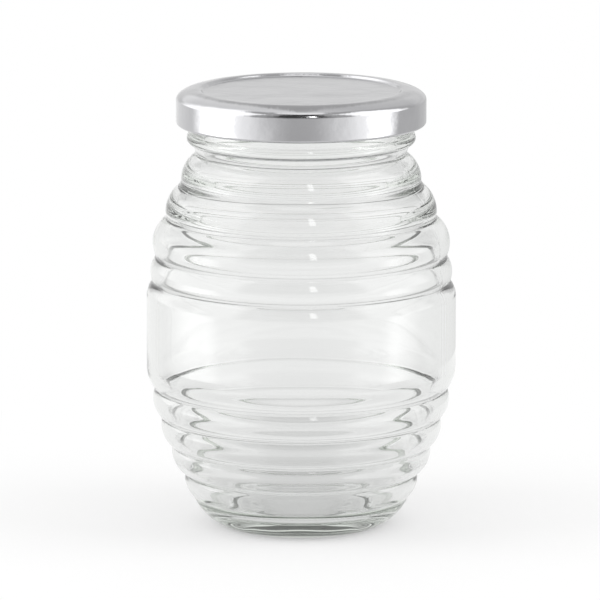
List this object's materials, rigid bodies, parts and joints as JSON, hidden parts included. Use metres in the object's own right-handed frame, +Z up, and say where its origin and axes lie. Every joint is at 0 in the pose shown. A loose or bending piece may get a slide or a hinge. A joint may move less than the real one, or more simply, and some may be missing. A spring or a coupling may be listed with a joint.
{
  "type": "beehive honey jar",
  "caption": "Empty clear glass honey jar shaped like a beehive, with stacked rings round its body, a plain label band and a silver twist-off cap.",
  "frame": {"origin": "centre of the ring that the jar stands on", "axes": "+Z up along the jar's axis, from the foot to the cap; X and Y are equal, with a thread's middle on +X"},
  "size_m": [0.0822, 0.0822, 0.1169],
  "materials": {
    "glass": "clear flint glass, polished by the mould, faintly grey-green where it is thick",
    "lid_metal": "silver lacquer on steel, semi-gloss",
    "seal_compound": "soft pale grey sealing compound"
  },
  "bodies": {
    "root": {"jar": "glass", "lid": "lid_metal", "seal_ring": "seal_compound"}
  },
  "joints": []
}
